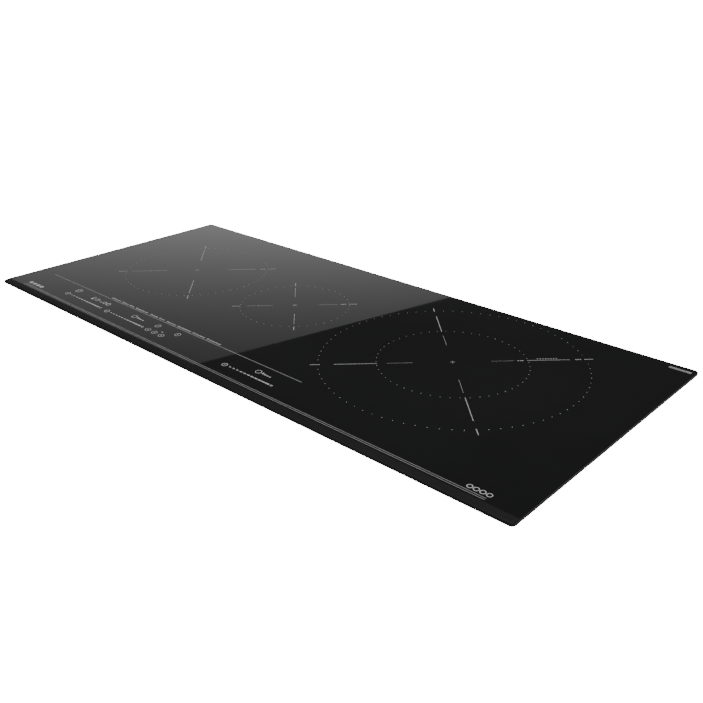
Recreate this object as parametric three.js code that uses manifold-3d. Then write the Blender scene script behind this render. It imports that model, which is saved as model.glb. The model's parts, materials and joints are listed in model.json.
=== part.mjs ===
// Built-in electric induction cooktop, 900 x 400 mm, with three cooking zones.
// Millimetres, +X along the width, +Y to the rear, +Z up, origin under the middle of the tray base.
import * as THREE from "three";
import { mergeVertices } from "three/addons/utils/BufferGeometryUtils.js";
import Module from "manifold-3d";

const wasm = await Module();
wasm.setup();

// ---- driving dimensions ----
const GLASS = { width: 900, depth: 400, thickness: 4, corner: 5, top: 56, chamfer: 0.8 };
const GLASS_BOTTOM = GLASS.top - GLASS.thickness;
const FRONT_EDGE = { ridge: 10.7, break: 3.1, drop: 1.0 };
const SEAL = { inset: 3, width: 8, thickness: 2 };
const SHEET = 1.2;
const TRAY = { x: 404, front: -137, rear: 180, corner: 8 };
const STEP = { front: -178, bottom: 36.5 };
const FLANGE = { x: 420, front: -187, rear: 188, bottom: 49.2 };
const GAP = 0.3;
const CORNER_STEPS = 6;

const PLATE = { front: -131, rear: 173, top: 35.7, sheet: 1.5, foot: 8, bottom: 1.5 };
const COIL_Y = 24.5;
const LEVEL = {
  spring: [36.0, 40.0],
  ferrite: [40.3, 44.3],
  former: [44.6, 46.6],
  formerRim: 49.5,
  winding: [46.9, 50.9],
  mica: [51.2, 51.7],
};
const ZONES = [
  { name: "left", x: -268, rings: [["", 30, 104]] },
  { name: "middle", x: -51, rings: [["", 24, 72]] },
  { name: "right", x: 221.3, rings: [["_inner", 34, 88], ["_outer", 100, 150]] },
];

const BOARD = { x0: 24, x1: 284, y: 114, z0: 5.3, z1: 6.9 };
const FAN = { x: 342, y: -74, radius: 44, wall: 2, z0: 1.5, z1: 27, inlet: 26 };
const HEAT_SINK = { x0: 120, x1: 280, y0: -110, y1: -50, z0: 7.2, z1: 29, fins: 11, fin: 2 };

const CONTROL = { x0: -350, x1: 130, y0: -174.5, y1: -139, z0: 38.0, rim: 47 };
const RIBBON = { x0: 40, x1: 52, thickness: 0.8 };

const TERMINAL = { x0: 302, x1: 378, y0: 120, z0: 8, z1: 33, wall: 2 };
const COVER = { x0: 299, x1: 381, y0: 180.3, thickness: 2, axisZ: 5, top: 37 };
const EAR = { inner: 33, outer: 36.5, half: 2.3, bore: 1.5 };
const GROMMET = { x: 282, z: 23, bore: 5.5, neck: 8.7, flange: 12, hole: 9 };

const CLAMP = { x: 413, ys: [-100, 130], stud: 2.5, nutBottom: 8.3, armBottom: 12, armTop: 14 };

const COLOUR = {
  glass: 0x0c0d0f,
  foam: 0x1a1a1b,
  silicone: 0x232324,
  steel: 0x8d9093,
  aluminium: 0xb9bcc0,
  plastic: 0x1d1e20,
  nylon: 0xd8d4c8,
  copper: 0xb2683a,
  ferrite: 0x2e2f33,
  mica: 0xc9b88c,
  board: 0x1f5a35,
  film: 0x2a52a0,
  zinc: 0xa9aaa4,
  ribbon: 0xc7c9cc,
  brass: 0xb89a4c,
};

const AXIS = {
  x: new THREE.Vector3(1, 0, 0),
  y: new THREE.Vector3(0, 1, 0),
  z: new THREE.Vector3(0, 0, 1),
};

// ---- solids: closed meshes joined and cut with manifold ----
function solid(geometry) {
  const bare = geometry.clone();
  bare.deleteAttribute("normal");
  bare.deleteAttribute("uv");
  const merged = mergeVertices(bare, 1e-4);
  const mesh = new wasm.Mesh({
    numProp: 3,
    vertProperties: new Float32Array(merged.attributes.position.array),
    triVerts: new Uint32Array(merged.index.array),
  });
  return new wasm.Manifold(mesh);
}

function geometryOf(body) {
  const { vertProperties, triVerts } = body.getMesh();
  const geometry = new THREE.BufferGeometry();
  geometry.setAttribute("position", new THREE.BufferAttribute(vertProperties, 3));
  geometry.setIndex(new THREE.BufferAttribute(triVerts, 1));
  geometry.computeVertexNormals();
  return geometry;
}

function joined(bodies) {
  return bodies.reduce((all, body) => all.add(body));
}

function cut(body, tools) {
  return tools.reduce((left, tool) => left.subtract(tool), body);
}

function part(name, body, color, roughness, metalness) {
  const material = new THREE.MeshStandardMaterial({ color, roughness, metalness });
  const mesh = new THREE.Mesh(geometryOf(body), material);
  mesh.name = name;
  return mesh;
}

function block(x0, x1, y0, y1, z0, z1) {
  const box = new THREE.BoxGeometry(Math.abs(x1 - x0), Math.abs(y1 - y0), Math.abs(z1 - z0));
  box.translate((x0 + x1) / 2, (y0 + y1) / 2, (z0 + z1) / 2);
  return solid(box);
}

// A flat outline in X and Y, raised from z0 to z1.
function prism(points, z0, z1) {
  const shape = new THREE.Shape(points);
  const raised = new THREE.ExtrudeGeometry(shape, { depth: z1 - z0, bevelEnabled: false });
  raised.translate(0, 0, z0);
  return solid(raised);
}

// An outline of [y, z] points carried along X.
function alongX(points, x0, x1) {
  const shape = new THREE.Shape(points.map(([y, z]) => new THREE.Vector2(y, z)));
  const bar = new THREE.ExtrudeGeometry(shape, { depth: x1 - x0, bevelEnabled: false });
  bar.applyMatrix4(new THREE.Matrix4().makeBasis(AXIS.y, AXIS.z, AXIS.x));
  bar.translate(x0, 0, 0);
  return solid(bar);
}

// An outline of [x, z] points carried along Y.
function alongY(points, y0, y1) {
  const shape = new THREE.Shape(points.map(([x, z]) => new THREE.Vector2(z, x)));
  const bar = new THREE.ExtrudeGeometry(shape, { depth: y1 - y0, bevelEnabled: false });
  bar.applyMatrix4(new THREE.Matrix4().makeBasis(AXIS.z, AXIS.x, AXIS.y));
  bar.translate(0, y0, 0);
  return solid(bar);
}

function arc(cx, cy, radius, from, to, steps) {
  return Array.from({ length: steps + 1 }, (_, i) => {
    const angle = from + ((to - from) * i) / steps;
    return new THREE.Vector2(cx + radius * Math.cos(angle), cy + radius * Math.sin(angle));
  });
}

function roundedRect(x0, x1, y0, y1, radius, steps) {
  const corners = [[x1, y1], [x0, y1], [x0, y0], [x1, y0]];
  return corners.flatMap(([x, y], i) => {
    const cx = x === x0 ? x0 + radius : x1 - radius;
    const cy = y === y0 ? y0 + radius : y1 - radius;
    return arc(cx, cy, radius, (i * Math.PI) / 2, ((i + 1) * Math.PI) / 2, steps);
  });
}

// A closed [radius, height] profile turned about the Z axis through (cx, cy).
function turned(profile, segments, cx = 0, cy = 0) {
  const points = [...profile, profile[0]].map(([r, z]) => new THREE.Vector2(r, z));
  const ring = new THREE.LatheGeometry(points, segments);
  ring.rotateX(Math.PI / 2);
  ring.translate(cx, cy, 0);
  return solid(ring);
}

function tube(inner, outer, z0, z1, segments, cx = 0, cy = 0) {
  const profile = [[inner, z0], [outer, z0], [outer, z1], [inner, z1]];
  return turned(profile, segments, cx, cy);
}

function drum(radius, z0, z1, segments, cx = 0, cy = 0) {
  const cylinder = new THREE.CylinderGeometry(radius, radius, z1 - z0, segments);
  cylinder.rotateX(Math.PI / 2);
  cylinder.translate(cx, cy, (z0 + z1) / 2);
  return solid(cylinder);
}

function drumAlongX(radius, x0, x1, y, z, segments) {
  const cylinder = new THREE.CylinderGeometry(radius, radius, x1 - x0, segments);
  cylinder.rotateZ(Math.PI / 2);
  cylinder.translate((x0 + x1) / 2, y, z);
  return solid(cylinder);
}

function drumAlongY(radius, y0, y1, x, z, segments) {
  const cylinder = new THREE.CylinderGeometry(radius, radius, y1 - y0, segments);
  cylinder.translate(x, (y0 + y1) / 2, z);
  return solid(cylinder);
}

// A strip of even thickness that follows a line of [a, z] points.
function strip(line, thickness) {
  const sides = [[], []];
  line.forEach((point, i) => {
    const before = line[Math.max(i - 1, 0)];
    const after = line[Math.min(i + 1, line.length - 1)];
    const run = Math.hypot(after[0] - before[0], after[1] - before[1]);
    const normal = [(before[1] - after[1]) / run, (after[0] - before[0]) / run];
    sides[0].push([0, 1].map((k) => point[k] + (normal[k] * thickness) / 2));
    sides[1].push([0, 1].map((k) => point[k] - (normal[k] * thickness) / 2));
  });
  return [...sides[0], ...sides[1].reverse()];
}

// ---- glass, seal and bead ----
function glassPanel() {
  const [x, y, edge] = [GLASS.width / 2, GLASS.depth / 2, GLASS.chamfer];
  const outline = roundedRect(-x, x, -y, y, GLASS.corner, CORNER_STEPS);
  const slab = prism(outline, GLASS_BOTTOM, GLASS.top);
  const breakZ = GLASS.top - FRONT_EDGE.drop;
  const nose = arc(0, 0, 1, Math.PI, Math.PI / 2, 5).map((point) => [
    -y + FRONT_EDGE.break * (1 + point.x),
    GLASS_BOTTOM + (breakZ - GLASS_BOTTOM) * point.y,
  ]);
  const across = [
    ...nose,
    [-y + FRONT_EDGE.ridge, GLASS.top],
    [y - edge, GLASS.top],
    [y, GLASS.top - edge],
    [y, GLASS_BOTTOM],
  ];
  const along = [
    [-x, GLASS_BOTTOM],
    [x, GLASS_BOTTOM],
    [x, GLASS.top - edge],
    [x - edge, GLASS.top],
    [edge - x, GLASS.top],
    [-x, GLASS.top - edge],
  ];
  const shaped = slab.intersect(alongX(across, -x, x)).intersect(alongY(along, -y, y));
  return part("glass_panel", shaped, COLOUR.glass, 0.08, 0);
}

function frameRing(outer, inner, z0, z1) {
  return block(...outer, z0, z1).subtract(block(...inner, z0 - 1, z1 + 1));
}

function edgeSeal() {
  const x = GLASS.width / 2 - SEAL.inset;
  const y = GLASS.depth / 2 - SEAL.inset;
  const [ix, iy, top] = [x - SEAL.width, y - SEAL.width, GLASS_BOTTOM - GAP];
  const ring = frameRing([-x, x, -y, y], [-ix, ix, -iy, iy], top - SEAL.thickness, top);
  return part("edge_seal", ring, COLOUR.foam, 0.95, 0);
}

function bondingBead() {
  const [lip, bottom] = [2, FLANGE.bottom + SHEET + GAP];
  const outer = [lip - FLANGE.x, FLANGE.x - lip, FLANGE.front + 1.5, FLANGE.rear - 1];
  const inner = [-TRAY.x - 4, TRAY.x + 4, STEP.front - 1.5, TRAY.rear + 1];
  const ring = frameRing(outer, inner, bottom, GLASS_BOTTOM - GAP);
  return part("bonding_bead", ring, COLOUR.silicone, 0.6, 0);
}

// ---- housing tray ----
function trayShell() {
  const { x, front, rear, corner } = TRAY;
  const top = FLANGE.bottom + SHEET;
  const overlap = FLANGE.bottom + 0.5;
  const deep = prism(roundedRect(-x, x, front, rear, corner, CORNER_STEPS), 0, overlap);
  const step = block(-x, x, STEP.front, front + corner, STEP.bottom, overlap);
  const { x: rimX, front: rimFront, rear: rimRear } = FLANGE;
  const rimOutline = roundedRect(-rimX, rimX, rimFront, rimRear, corner, CORNER_STEPS);
  const rim = prism(rimOutline, FLANGE.bottom, top);
  const inX = x - SHEET;
  const inside = [-inX, inX, front + SHEET, rear - SHEET, corner - SHEET];
  const hollowOutline = roundedRect(...inside, CORNER_STEPS);
  const hollow = prism(hollowOutline, SHEET, top + 1);
  const stepFront = STEP.front + SHEET;
  const stepFloor = STEP.bottom + SHEET;
  const stepHollow = block(-inX, inX, stepFront, front + corner, stepFloor, top + 1);
  return cut(joined([deep, step, rim]), [hollow, stepHollow]);
}

function fanInlets() {
  const [slot, pitch, reach] = [4, 8, 36];
  return [-1, 1].flatMap((side) =>
    [-4, -3, -2, -1, 0, 1, 2, 3, 4].map((row) => {
      const half = Math.sqrt(reach ** 2 - (row * pitch) ** 2);
      const [x, y] = [side * FAN.x, FAN.y + row * pitch];
      return block(x - half, x + half, y - slot / 2, y + slot / 2, -1, SHEET + 1);
    }),
  );
}

function airOutlets() {
  const [slot, pitch, count] = [4, 16, 7];
  const rows = Array.from({ length: 2 * count + 1 }, (_, i) => (i - count) * pitch);
  return rows.map((x) =>
    block(x - slot / 2, x + slot / 2, TRAY.rear - 3, TRAY.rear + 1, 10, 30),
  );
}

function hingeEars() {
  const centre = (COVER.x0 + COVER.x1) / 2;
  const axisY = COVER.y0 + COVER.thickness;
  return [-1, 1].map((side) => {
    const [near, far] = [centre + side * EAR.inner, centre + side * EAR.outer];
    const [z0, z1] = [COVER.axisZ - EAR.half, COVER.axisZ + EAR.half];
    const ear = block(near, far, TRAY.rear - 0.5, axisY + EAR.half, z0, z1);
    const reach = EAR.outer + 1;
    const pinHole = [centre - reach, centre + reach, axisY, COVER.axisZ];
    return ear.subtract(drumAlongX(EAR.bore, ...pinHole, 8));
  });
}

function housingTray() {
  const { x0, x1, z0, z1 } = TERMINAL;
  const rear = [TRAY.rear - 3, TRAY.rear + 1];
  const window = block(x0 - GAP, x1 + GAP, ...rear, z0 - GAP, z1 + GAP);
  const cableHole = drumAlongY(GROMMET.hole, ...rear, GROMMET.x, GROMMET.z, 24);
  const open = cut(trayShell(), [...fanInlets(), ...airOutlets(), window, cableHole]);
  return part("housing_tray", joined([open, ...hingeEars()]), COLOUR.steel, 0.45, 0.9);
}

// ---- coil plates: bridges over the electronics ----
function coilPlate(name, x0, x1, centres, notches) {
  const { front, rear, top, sheet, foot, bottom } = PLATE;
  const bridge = [
    [front + foot, bottom],
    [front, bottom],
    [front, top],
    [rear, top],
    [rear, bottom],
    [rear - foot, bottom],
    [rear - foot, bottom + sheet],
    [rear - sheet, bottom + sheet],
    [rear - sheet, top - sheet],
    [front + sheet, top - sheet],
    [front + sheet, bottom + sheet],
    [front + foot, bottom + sheet],
  ];
  const holes = centres.map((x) => drum(16, top - 5, top + 5, 16, x, COIL_Y));
  const windows = notches.map(([a, b, z0, z1]) => block(a, b, rear - 9, rear + 5, z0, z1));
  const plate = cut(alongX(bridge, x0, x1), [...holes, ...windows]);
  return part(name, plate, COLOUR.aluminium, 0.4, 0.9);
}

function coilPlates() {
  const terminalNotch = [264, 390, 0, 34];
  return [
    coilPlate("coil_plate_left", -396, 36, [ZONES[0].x, ZONES[1].x], [[-125, 30, 8, 32]]),
    coilPlate("coil_plate_right", 56, 396, [ZONES[2].x], [[60, 125, 8, 32], terminalNotch]),
  ];
}

// ---- one coil unit, built about its own centre ----
function ferriteStar(reach) {
  const [z0, z1] = LEVEL.ferrite;
  const bars = Array.from({ length: 4 }, (_, i) => {
    const bar = block(-reach, reach, -5, 5, z0, z1);
    return bar.rotate([0, 0, i * 45]);
  });
  const hub = drum(26, z0, z1, 16);
  return joined([hub, ...bars]).subtract(drum(15, z0 - 1, z1 + 1, 16));
}

function former(outer) {
  const [z0, z1] = LEVEL.former;
  const rim = outer + 3;
  return turned(
    [
      [8, z0],
      [rim, z0],
      [rim, LEVEL.formerRim],
      [rim - 1.6, LEVEL.formerRim],
      [rim - 1.6, z1],
      [8, z1],
    ],
    24,
  );
}

function sensor() {
  return turned(
    [
      [0, 42],
      [6, 42],
      [6, 49.2],
      [12, 49.2],
      [12, 50.7],
      [6, 50.7],
      [6, 51.7],
      [0, 51.7],
    ],
    12,
  );
}

function leafSpring(reach) {
  const [low, high] = LEVEL.spring;
  const [thickness, steps] = [0.6, 8];
  const rise = high - low - thickness;
  const line = Array.from({ length: steps + 1 }, (_, i) => {
    const share = (2 * i) / steps - 1;
    return [share * reach, low + thickness / 2 + 0.02 + (rise - 0.04) * (1 - share ** 2)];
  });
  return alongY(strip(line, thickness), -7, 7);
}

function coilUnit({ name, x, rings }) {
  const unit = new THREE.Group();
  const outer = rings[rings.length - 1][2];
  unit.position.set(x, COIL_Y, 0);
  unit.add(part(`ferrite_star_${name}`, ferriteStar(outer - 4), COLOUR.ferrite, 0.8, 0.1));
  unit.add(part(`coil_former_${name}`, former(outer), COLOUR.nylon, 0.6, 0));
  rings.forEach(([suffix, inner, radius]) => {
    const winding = tube(inner, radius, ...LEVEL.winding, 24);
    unit.add(part(`coil_winding_${name}${suffix}`, winding, COLOUR.copper, 0.45, 0.7));
  });
  const mica = tube(14, outer + 1, ...LEVEL.mica, 24);
  unit.add(part(`mica_sheet_${name}`, mica, COLOUR.mica, 0.6, 0));
  unit.add(part(`sensor_${name}`, sensor(), COLOUR.nylon, 0.7, 0));
  unit.add(part(`leaf_spring_${name}`, leafSpring(outer * 0.6), COLOUR.zinc, 0.35, 0.9));
  return unit;
}

// ---- one power unit; side is -1 at the left and 1 at the right ----
function boardCarrier(side) {
  const [x0, x1, y] = [BOARD.x0 - 4, BOARD.x1 + 4, BOARD.y + 4];
  const outer = block(side * x0, side * x1, -y, y, 1.5, 7);
  const hollow = block(side * (x0 + 1.5), side * (x1 - 1.5), 1.5 - y, y - 1.5, 3, 8);
  const posts = [BOARD.x0 + 8, BOARD.x1 - 8].flatMap((x) =>
    [8 - BOARD.y, BOARD.y - 8].map((py) => drum(3, 2.5, BOARD.z0 - GAP, 8, side * x, py)),
  );
  return joined([outer.subtract(hollow), ...posts]);
}

function powerBoard(side) {
  const sheet = block(side * BOARD.x0, side * BOARD.x1, -BOARD.y, BOARD.y, BOARD.z0, BOARD.z1);
  const socket = block(side * 38, side * 54, -99.7, -92, BOARD.z1 - 0.5, 13);
  const relay = block(side * 60, side * 80, 30, 46, BOARD.z1 - 0.5, 23);
  const tabs = [60, 75, 90].map((y) =>
    block(side * 40, side * 52, y, y + 5, BOARD.z1 - 0.5, 14),
  );
  return joined([sheet, socket, relay, ...tabs]);
}

function heatSink(side) {
  const { x0, x1, y0, y1, z0, z1, fins, fin } = HEAT_SINK;
  const root = z0 + 5;
  const pitch = (y1 - y0 - fin) / (fins - 1);
  const comb = Array.from({ length: fins }, (_, i) => y0 + i * pitch).flatMap((y, i) => [
    ...(i ? [[y, root]] : []),
    [y, z1],
    [y + fin, z1],
    ...(i < fins - 1 ? [[y + fin, root]] : []),
  ]);
  const profile = [[y0, z0], ...comb, [y1, z0]];
  return side < 0 ? alongX(profile, -x1, -x0) : alongX(profile, x0, x1);
}

function fanHousing(side) {
  const { radius, wall, z0, z1, inlet } = FAN;
  const [x, y] = [side * FAN.x, FAN.y];
  const mouth = side * (FAN.x - radius - 6);
  const scroll = drum(radius, z0, z1, 20, x, y);
  const duct = block(x, mouth, y - radius, y + 4, z0, z1);
  const scrollHollow = drum(radius - wall, z0 + wall, z1 - wall, 20, x, y);
  const past = mouth - side;
  const ductHollow = block(x, past, y - radius + wall, y + 4 - wall, z0 + wall, z1 - wall);
  const eye = drum(inlet, z0 - 1, z0 + wall + 1, 16, x, y);
  const shell = cut(scroll.add(duct), [scrollHollow, ductHollow, eye]);
  return shell.add(drum(3, 8, z1 - 1, 10, x, y));
}

function fanRotor(side) {
  const [blades, x, y] = [11, side * FAN.x, FAN.y];
  const backplate = tube(3.4, 38, 22, 23.5, 16);
  const hub = tube(3.4, 13, 12, 22.5, 16);
  const vanes = Array.from({ length: blades }, (_, i) => {
    const vane = block(24, 37, -0.7, 0.7, 6, 22.5);
    return vane.rotate([0, 0, (i * 360) / blades]);
  });
  return joined([backplate, hub, ...vanes]).translate([x, y, 0]);
}

function filterChoke(side) {
  const [ring, wire, level] = [13, 6.5, BOARD.z1 + GAP + 6.5];
  const profile = arc(ring, level, wire, 0, 2 * Math.PI, 8)
    .slice(0, -1)
    .map((point) => [point.x, point.y]);
  return turned(profile, 16, side * 72, -72);
}

function filterCapacitor(side) {
  const outline = roundedRect(...(side < 0 ? [-100, -58] : [58, 100]), -36, -14, 2, 1);
  return prism(outline, BOARD.z1 + GAP, 28);
}

function powerUnit(name, side) {
  const unit = new THREE.Group();
  unit.add(part(`board_carrier_${name}`, boardCarrier(side), COLOUR.plastic, 0.6, 0));
  unit.add(part(`power_board_${name}`, powerBoard(side), COLOUR.board, 0.5, 0));
  unit.add(part(`heat_sink_${name}`, heatSink(side), COLOUR.aluminium, 0.4, 0.9));
  unit.add(part(`fan_housing_${name}`, fanHousing(side), COLOUR.plastic, 0.55, 0));
  unit.add(part(`fan_rotor_${name}`, fanRotor(side), COLOUR.plastic, 0.5, 0));
  unit.add(part(`filter_choke_${name}`, filterChoke(side), COLOUR.copper, 0.45, 0.7));
  unit.add(part(`filter_capacitor_${name}`, filterCapacitor(side), COLOUR.film, 0.4, 0));
  return unit;
}

// ---- touch control ----
function controlCarrier() {
  const { x0, x1, y0, y1, z0, rim } = CONTROL;
  const outer = block(x0, x1, y0, y1, z0, rim);
  const hollow = block(x0 + 1.8, x1 - 1.8, y0 + 1.8, y1 - 1.8, z0 + 1.5, rim + 1);
  const notch = block(RIBBON.x0 - 2, RIBBON.x1 + 2, y1 - 3, y1 + 1, z0 + 7, rim + 1);
  const posts = [x0 + 12, -110, x1 - 12].map((x) =>
    block(x - 3, x + 3, y0 + 10, y1 - 10, z0 + 1, z0 + 6 - GAP),
  );
  return joined([cut(outer, [hollow, notch]), ...posts]);
}

function controls() {
  const { x0, x1, y0, y1, z0 } = CONTROL;
  const [low, high] = [z0 + 6, z0 + 7.6];
  const board = block(x0 + 2.1, x1 - 2.1, y0 + 2.1, y1 - 2.1, low, high);
  const module = (name, a, b) => {
    const lens = block(a, b, -169, -147, high + GAP, GLASS_BOTTOM - 2 * GAP);
    return part(name, lens, COLOUR.plastic, 0.4, 0);
  };
  const group = new THREE.Group();
  group.add(part("control_carrier", controlCarrier(), COLOUR.plastic, 0.6, 0));
  group.add(part("control_board", board, COLOUR.board, 0.5, 0));
  group.add(module("display_module_left", -334, -138));
  group.add(module("display_module_right", 18, 114));
  return group;
}

function ribbonCable() {
  const [bend, level, drop, end] = [4, 46.4, -124, 8.4];
  const over = arc(drop - bend, level - bend, bend, Math.PI / 2, 0, 3);
  const under = arc(drop + bend, end + bend, bend, Math.PI, 1.5 * Math.PI, 3);
  const line = [[-146, level], ...[...over, ...under].map((p) => [p.x, p.y]), [-100, end]];
  const ribbon = alongX(strip(line, RIBBON.thickness), RIBBON.x0, RIBBON.x1);
  return part("ribbon_cable", ribbon, COLOUR.ribbon, 0.5, 0);
}

// ---- mains connection ----
function terminalBox() {
  const { x0, x1, y0, z0, z1, wall } = TERMINAL;
  const outer = block(x0, x1, y0, TRAY.rear - 1, z0, z1);
  const hollow = block(x0 + wall, x1 - wall, y0 + wall, TRAY.rear, z0 + wall, z1 - wall);
  const leadIn = block(x0 - 1, x0 + wall + 1, 158, 170, 16, 28);
  return part("terminal_box", cut(outer, [hollow, leadIn]), COLOUR.plastic, 0.6, 0);
}

function terminalBlock() {
  const { y0, z0, wall } = TERMINAL;
  const [count, pitch, first, low] = [5, 13, 307.5, z0 + wall + GAP];
  const back = y0 + wall + GAP;
  const body = block(first, first + count * pitch, back, back + 24, low, low + 16);
  const pockets = Array.from({ length: count }, (_, i) => {
    const centre = first + (i + 0.5) * pitch;
    const throat = block(centre - 4, centre + 4, back + 12, back + 25, low + 3, low + 11);
    return throat.add(drum(3, low + 5, low + 17, 8, centre, back + 16));
  });
  return part("terminal_block", cut(body, pockets), COLOUR.nylon, 0.5, 0);
}

function terminalCover() {
  const { x0, x1, y0, thickness, axisZ, top } = COVER;
  const [centre, axisY] = [(x0 + x1) / 2, y0 + thickness];
  const tongue = EAR.inner - 1;
  const clear = axisZ + EAR.half + 1.2;
  const panel = joined([
    block(x0, x1, y0, axisY, clear, top),
    block(centre - tongue, centre + tongue, y0, axisY, axisZ, clear + 1),
    drumAlongX(1.1, centre - EAR.outer, centre + EAR.outer, axisY, axisZ, 8),
    block(centre - 9, centre + 9, axisY - 0.5, axisY + 2, top - 4, top),
    block(centre - 30, centre + 30, axisY - 0.5, axisY + 0.8, 18, 20),
    block(centre - 30, centre + 30, axisY - 0.5, axisY + 0.8, 25, 27),
  ]);
  return part("terminal_cover", panel, COLOUR.plastic, 0.55, 0);
}

function cableGrommet() {
  const { x, z, bore, neck, flange } = GROMMET;
  const inside = TRAY.rear - SHEET - GAP;
  const outside = TRAY.rear + GAP;
  const profile = [
    [bore, inside - 2.2],
    [flange, inside - 2.2],
    [flange, inside],
    [neck, inside],
    [neck, outside],
    [flange, outside],
    [flange - 1, outside + 2.7],
    [bore, outside + 2.7],
  ];
  const points = [...profile, profile[0]].map(([r, y]) => new THREE.Vector2(r, y));
  const ring = new THREE.LatheGeometry(points, 24);
  ring.translate(x, 0, z);
  return part("cable_grommet", solid(ring), COLOUR.foam, 0.85, 0);
}

// ---- worktop clamps: stud under the flange, nut on the stud, arm on the nut ----
function clampStud() {
  const { stud, nutBottom } = CLAMP;
  return turned(
    [
      [0, nutBottom - 3.3],
      [4.5, nutBottom - 3.3],
      [4.5, nutBottom - GAP],
      [stud, nutBottom - GAP],
      [stud, FLANGE.bottom - GAP],
      [0, FLANGE.bottom - GAP],
    ],
    12,
  );
}

function clampNut() {
  const { stud, nutBottom, armBottom } = CLAMP;
  const hexagon = drum(5, nutBottom, armBottom - GAP, 6);
  return hexagon.subtract(drum(stud + 0.5, nutBottom - 1, armBottom, 12));
}

function clampArm() {
  const { stud, armBottom, armTop } = CLAMP;
  const [half, length] = [6, 34];
  const outline = [
    ...arc(0, 0, half, Math.PI, 2 * Math.PI, 6),
    new THREE.Vector2(half, length - 3),
    new THREE.Vector2(half - 3, length),
    new THREE.Vector2(3 - half, length),
    new THREE.Vector2(-half, length - 3),
  ];
  const rib = block(-1.5, 1.5, 8, length - 4, armBottom - 1.5, armBottom + 0.5);
  const hole = drum(stud + 0.7, armBottom - 1, armTop + 1, 12);
  return prism(outline, armBottom, armTop).subtract(hole).add(rib);
}

function clamps() {
  const group = new THREE.Group();
  [["left", -1], ["right", 1]].forEach(([sideName, side]) => {
    CLAMP.ys.forEach((y, i) => {
      const name = `${i ? "rear" : "front"}_${sideName}`;
      const clamp = new THREE.Group();
      clamp.position.set(side * CLAMP.x, y, 0);
      clamp.add(part(`clamp_stud_${name}`, clampStud(), COLOUR.zinc, 0.35, 0.9));
      clamp.add(part(`clamp_nut_${name}`, clampNut(), COLOUR.brass, 0.35, 0.9));
      clamp.add(part(`clamp_arm_${name}`, clampArm(), COLOUR.zinc, 0.35, 0.9));
      group.add(clamp);
    });
  });
  return group;
}

const cooktop = new THREE.Group();
cooktop.add(glassPanel(), edgeSeal(), bondingBead(), housingTray(), ...coilPlates());
cooktop.add(...ZONES.map(coilUnit));
cooktop.add(powerUnit("left", -1), powerUnit("right", 1));
cooktop.add(controls(), ribbonCable());
cooktop.add(terminalBox(), terminalBlock(), terminalCover(), cableGrommet());
cooktop.add(clamps());

export default cooktop;
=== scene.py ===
"""Looks of a built-in induction cooktop: printed glass, seals, steel housing, clamps and studio."""

import json
import math

import bmesh
import bpy
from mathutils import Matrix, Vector

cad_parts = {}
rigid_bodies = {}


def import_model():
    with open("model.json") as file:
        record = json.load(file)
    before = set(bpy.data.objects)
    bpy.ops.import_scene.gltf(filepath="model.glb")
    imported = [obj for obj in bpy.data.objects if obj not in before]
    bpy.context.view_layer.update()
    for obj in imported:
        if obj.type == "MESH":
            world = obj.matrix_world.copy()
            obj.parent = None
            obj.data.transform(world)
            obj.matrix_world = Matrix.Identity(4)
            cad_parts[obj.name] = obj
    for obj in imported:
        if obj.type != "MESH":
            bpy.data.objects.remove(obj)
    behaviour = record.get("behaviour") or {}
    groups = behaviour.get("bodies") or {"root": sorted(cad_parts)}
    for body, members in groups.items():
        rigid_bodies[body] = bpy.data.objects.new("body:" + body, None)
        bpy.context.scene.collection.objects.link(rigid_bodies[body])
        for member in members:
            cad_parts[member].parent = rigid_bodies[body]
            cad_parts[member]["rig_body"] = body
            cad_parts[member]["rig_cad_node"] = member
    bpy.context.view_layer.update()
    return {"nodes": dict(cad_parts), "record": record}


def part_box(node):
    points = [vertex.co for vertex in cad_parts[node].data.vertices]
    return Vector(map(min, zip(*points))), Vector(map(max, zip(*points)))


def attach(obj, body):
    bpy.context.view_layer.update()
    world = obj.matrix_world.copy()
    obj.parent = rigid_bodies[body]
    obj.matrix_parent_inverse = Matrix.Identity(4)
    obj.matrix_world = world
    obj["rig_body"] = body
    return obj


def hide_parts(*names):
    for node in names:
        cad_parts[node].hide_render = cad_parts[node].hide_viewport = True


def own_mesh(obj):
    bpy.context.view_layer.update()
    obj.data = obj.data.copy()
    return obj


bl_info = {
    "name": "Induction cooktop",
    "version": (1, 0, 0),
    "blender": (4, 5, 0),
    "location": "View3D > Sidebar > Cooktop",
    "description": "Builds the printed glass, seals, housing and clamps of a built-in cooktop",
    "category": "Object",
}

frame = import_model()
JOINTS = frame["record"]["behaviour"]["joints"]

MM = 0.001
HAIR = 0.01 * MM
MERGE = 0.004 * MM
GLASS_LOW, GLASS_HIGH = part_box("glass_panel")
GLASS_TOP = GLASS_HIGH.z


# ---- shader sums written as Python ----
class Wire:
    """A shader socket that can stand in a Python sum."""

    def __init__(self, finish, socket):
        self.finish = finish
        self.socket = socket

    def _math(self, operation, first, second):
        return self.finish.node("Math", {"operation": operation}, {0: first, 1: second})[0]

    def __add__(self, other):
        return self._math("ADD", self, other)

    def __radd__(self, other):
        return self._math("ADD", other, self)

    def __sub__(self, other):
        return self._math("SUBTRACT", self, other)

    def __rsub__(self, other):
        return self._math("SUBTRACT", other, self)

    def __mul__(self, other):
        return self._math("MULTIPLY", self, other)

    def __rmul__(self, other):
        return self._math("MULTIPLY", other, self)

    def __pow__(self, other):
        return self._math("POWER", self, other)

    def __rpow__(self, other):
        return self._math("POWER", other, self)

    def at_least(self, other):
        return self._math("MAXIMUM", self, other)

    def between(self, low, high):
        """0 at low, 1 at high, eased in between and held outside."""
        settings = {"interpolation_type": "SMOOTHSTEP"}
        inputs = {0: self, 1: low, 2: high, 3: 0.0, 4: 1.0}
        return self.finish.node("MapRange", settings, inputs)[0]


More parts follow.
